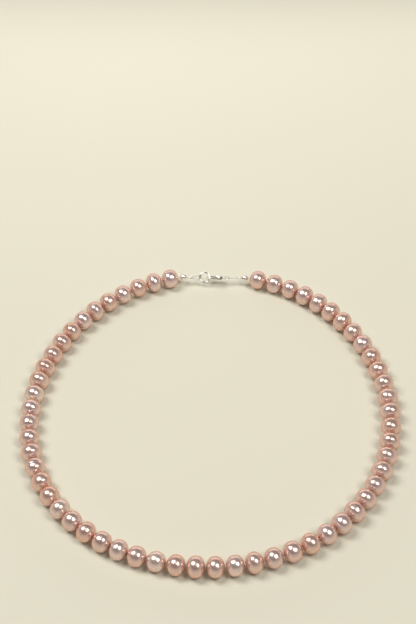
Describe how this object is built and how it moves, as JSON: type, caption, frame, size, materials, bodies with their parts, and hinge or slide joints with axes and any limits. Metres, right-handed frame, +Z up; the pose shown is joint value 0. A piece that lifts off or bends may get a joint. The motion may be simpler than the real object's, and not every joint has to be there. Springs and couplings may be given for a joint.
{
  "type": "pearl necklace",
  "caption": "Single strand of off-round pearls on beading wire, closed by a lobster clasp hooked through a ring, with a small silver bead at each end.",
  "frame": {"origin": "middle of the loop's box, at the level of the surface that the necklace lies on", "axes": "+Z up from that surface, +Y from the front of the loop towards the clasp, +X from the catch ring's side towards the clasp's side"},
  "size_m": [0.1524, 0.153, 0.0084],
  "materials": {
    "pearl": "polished",
    "polished_silver": "polished",
    "beading_wire": "satin",
    "spring_wire": "satin"
  },
  "bodies": {
    "strand_front": {"pearls_front": "pearl", "wire_front": "beading_wire"},
    "strand_left_01": {"pearls_left_01": "pearl", "wire_left_01": "beading_wire"},
    "strand_left_02": {"pearls_left_02": "pearl", "wire_left_02": "beading_wire"},
    "strand_left_03": {"pearls_left_03": "pearl", "wire_left_03": "beading_wire"},
    "strand_left_04": {"pearls_left_04": "pearl", "wire_left_04": "beading_wire"},
    "strand_left_05": {"pearls_left_05": "pearl", "wire_left_05": "beading_wire"},
    "strand_left_06": {"pearls_left_06": "pearl", "wire_left_06": "beading_wire"},
    "strand_left_07": {"pearls_left_07": "pearl", "wire_left_07": "beading_wire"},
    "strand_left_08": {"pearls_left_08": "pearl", "wire_left_08": "beading_wire"},
    "strand_left_09": {"pearls_left_09": "pearl", "wire_left_09": "beading_wire"},
    "strand_left_10": {"pearls_left_10": "pearl", "wire_left_10": "beading_wire"},
    "strand_left_11": {"pearls_left_11": "pearl", "wire_left_11": "beading_wire"},
    "strand_right_01": {"pearls_right_01": "pearl", "wire_right_01": "beading_wire"},
    "strand_right_02": {"pearls_right_02": "pearl", "wire_right_02": "beading_wire"},
    "strand_right_03": {"pearls_right_03": "pearl", "wire_right_03": "beading_wire"},
    "strand_right_04": {"pearls_right_04": "pearl", "wire_right_04": "beading_wire"},
    "strand_right_05": {"pearls_right_05": "pearl", "wire_right_05": "beading_wire"},
    "strand_right_06": {"pearls_right_06": "pearl", "wire_right_06": "beading_wire"},
    "strand_right_07": {"pearls_right_07": "pearl", "wire_right_07": "beading_wire"},
    "strand_right_08": {"pearls_right_08": "pearl", "wire_right_08": "beading_wire"},
    "strand_right_09": {"pearls_right_09": "pearl", "wire_right_09": "beading_wire"},
    "strand_right_10": {"pearls_right_10": "pearl", "wire_right_10": "beading_wire"},
    "strand_right_11": {"pearls_right_11": "pearl", "wire_right_11": "beading_wire"},
    "end_left": {"silver_bead_left": "polished_silver", "crimp_left": "polished_silver", "wire_loop_left": "beading_wire"},
    "end_right": {"silver_bead_right": "polished_silver", "crimp_right": "polished_silver", "wire_loop_right": "beading_wire"},
    "catch_ring": {"catch_ring": "polished_silver"},
    "tail_ring": {"clasp_tail_ring": "polished_silver"},
    "clasp": {"clasp_body": "polished_silver", "clasp_pivot_pin": "polished_silver", "clasp_spring": "spring_wire"},
    "trigger": {"clasp_trigger": "polished_silver"}
  },
  "joints": [
    {"name": "left_bend_01_sideways", "type": "hinge", "parent": "strand_front", "child": "strand_left_01", "pos_m": [-0.00679, -0.07212, 0.00422], "axis": [0, 0, 1], "range_deg": [0, 20]},
    {"name": "left_bend_02_upright", "type": "hinge", "parent": "strand_left_01", "child": "strand_left_02", "pos_m": [-0.02872, -0.06684, 0.00422], "axis": [0.3734, 0.9277, 0], "range_deg": [-20, 20]},
    {"name": "left_bend_03_sideways", "type": "hinge", "parent": "strand_left_02", "child": "strand_left_03", "pos_m": [-0.04178, -0.05994, 0.00422], "axis": [0, 0, 1], "range_deg": [0, 20]},
    {"name": "left_bend_04_upright", "type": "hinge", "parent": "strand_left_03", "child": "strand_left_04", "pos_m": [-0.05802, -0.04477, 0.00422], "axis": [0.7948, 0.6069, 0], "range_deg": [-20, 20]},
    {"name": "left_bend_05_sideways", "type": "hinge", "parent": "strand_left_04", "child": "strand_left_05", "pos_m": [-0.06579, -0.03183, 0.00422], "axis": [0, 0, 1], "range_deg": [-20, 20]},
    {"name": "left_bend_06_upright", "type": "hinge", "parent": "strand_left_05", "child": "strand_left_06", "pos_m": [-0.0717, -0.01055, 0.00422], "axis": [0.9933, 0.1159, 0], "range_deg": [-20, 20]},
    {"name": "left_bend_07_sideways", "type": "hinge", "parent": "strand_left_06", "child": "strand_left_07", "pos_m": [-0.07199, 0.00415, 0.00422], "axis": [0, 0, 1], "range_deg": [-20, 20]},
    {"name": "left_bend_08_upright", "type": "hinge", "parent": "strand_left_07", "child": "strand_left_08", "pos_m": [-0.06744, 0.02553, 0.00422], "axis": [0.9418, -0.3362, 0], "range_deg": [-20, 20]},
    {"name": "left_bend_09_sideways", "type": "hinge", "parent": "strand_left_08", "child": "strand_left_09", "pos_m": [-0.06132, 0.03889, 0.00422], "axis": [0, 0, 1], "range_deg": [-20, 20]},
    {"name": "left_bend_10_upright", "type": "hinge", "parent": "strand_left_09", "child": "strand_left_10", "pos_m": [-0.04792, 0.05617, 0.00422], "axis": [0.6909, -0.7229, 0], "range_deg": [-20, 20]},
    {"name": "left_bend_11_sideways", "type": "hinge", "parent": "strand_left_10", "child": "strand_left_11", "pos_m": [-0.03605, 0.06534, 0.00422], "axis": [0, 0, 1], "range_deg": [-20, 20]},
    {"name": "left_bend_12_upright", "type": "hinge", "parent": "strand_left_11", "child": "end_left", "pos_m": [-0.01559, 0.07351, 0.00422], "axis": [0.2612, -0.9653, 0], "range_deg": [-45, 45]},
    {"name": "right_bend_01_sideways", "type": "hinge", "parent": "strand_front", "child": "strand_right_01", "pos_m": [0.00766, -0.07212, 0.00422], "axis": [0, 0, -1], "range_deg": [0, 20]},
    {"name": "right_bend_02_upright", "type": "hinge", "parent": "strand_right_01", "child": "strand_right_02", "pos_m": [0.02897, -0.06697, 0.00422], "axis": [-0.3734, 0.9277, 0], "range_deg": [-20, 20]},
    {"name": "right_bend_03_sideways", "type": "hinge", "parent": "strand_right_02", "child": "strand_right_03", "pos_m": [0.04227, -0.05997, 0.00422], "axis": [0, 0, -1], "range_deg": [0, 20]},
    {"name": "right_bend_04_upright", "type": "hinge", "parent": "strand_right_03", "child": "strand_right_04", "pos_m": [0.05828, -0.04501, 0.00422], "axis": [-0.7948, 0.6069, 0], "range_deg": [-20, 20]},
    {"name": "right_bend_05_sideways", "type": "hinge", "parent": "strand_right_04", "child": "strand_right_05", "pos_m": [0.06589, -0.03231, 0.00422], "axis": [0, 0, -1], "range_deg": [-20, 20]},
    {"name": "right_bend_06_upright", "type": "hinge", "parent": "strand_right_05", "child": "strand_right_06", "pos_m": [0.07163, -0.01158, 0.00422], "axis": [-0.9933, 0.1159, 0], "range_deg": [-20, 20]},
    {"name": "right_bend_07_sideways", "type": "hinge", "parent": "strand_right_06", "child": "strand_right_07", "pos_m": [0.07192, 0.00326, 0.00422], "axis": [0, 0, -1], "range_deg": [-20, 20]},
    {"name": "right_bend_08_upright", "type": "hinge", "parent": "strand_right_07", "child": "strand_right_08", "pos_m": [0.06731, 0.02472, 0.00422], "axis": [-0.9418, -0.3362, 0], "range_deg": [-20, 20]},
    {"name": "right_bend_09_sideways", "type": "hinge", "parent": "strand_right_08", "child": "strand_right_09", "pos_m": [0.061, 0.03847, 0.00422], "axis": [0, 0, -1], "range_deg": [-20, 20]},
    {"name": "right_bend_10_upright", "type": "hinge", "parent": "strand_right_09", "child": "strand_right_10", "pos_m": [0.04762, 0.05574, 0.00422], "axis": [-0.6909, -0.7229, 0], "range_deg": [-20, 20]},
    {"name": "right_bend_11_sideways", "type": "hinge", "parent": "strand_right_10", "child": "strand_right_11", "pos_m": [0.03613, 0.06461, 0.00422], "axis": [0, 0, -1], "range_deg": [-20, 20]},
    {"name": "right_bend_12_upright", "type": "hinge", "parent": "strand_right_11", "child": "end_right", "pos_m": [0.01553, 0.07281, 0.00422], "axis": [-0.2612, -0.9653, 0], "range_deg": [-45, 45]},
    {"name": "catch_ring_turn", "type": "hinge", "parent": "end_left", "child": "catch_ring", "pos_m": [-0.00413, 0.07325, 0.00422], "axis": [-0.015, -0.669, 0.7431], "continuous": true},
    {"name": "clasp_tail_ring_turn", "type": "hinge", "parent": "end_right", "child": "tail_ring", "pos_m": [0.00574, 0.07303, 0.00422], "axis": [-0.0177, -0.7932, 0.6088], "continuous": true},
    {"name": "clasp_roll", "type": "hinge", "parent": "end_right", "child": "clasp", "pos_m": [0.00574, 0.07303, 0.00422], "axis": [0.9998, -0.0223, 0], "range_deg": [-25, 25]},
    {"name": "clasp_trigger_press", "type": "hinge", "parent": "clasp", "child": "trigger", "pos_m": [0.00196, 0.07264, 0.00459], "axis": [-0.0136, -0.6086, -0.7934], "range_deg": [0, 30], "stiffness_Nm_per_rad": 0.0008, "springref_deg": -11.46}
  ]
}
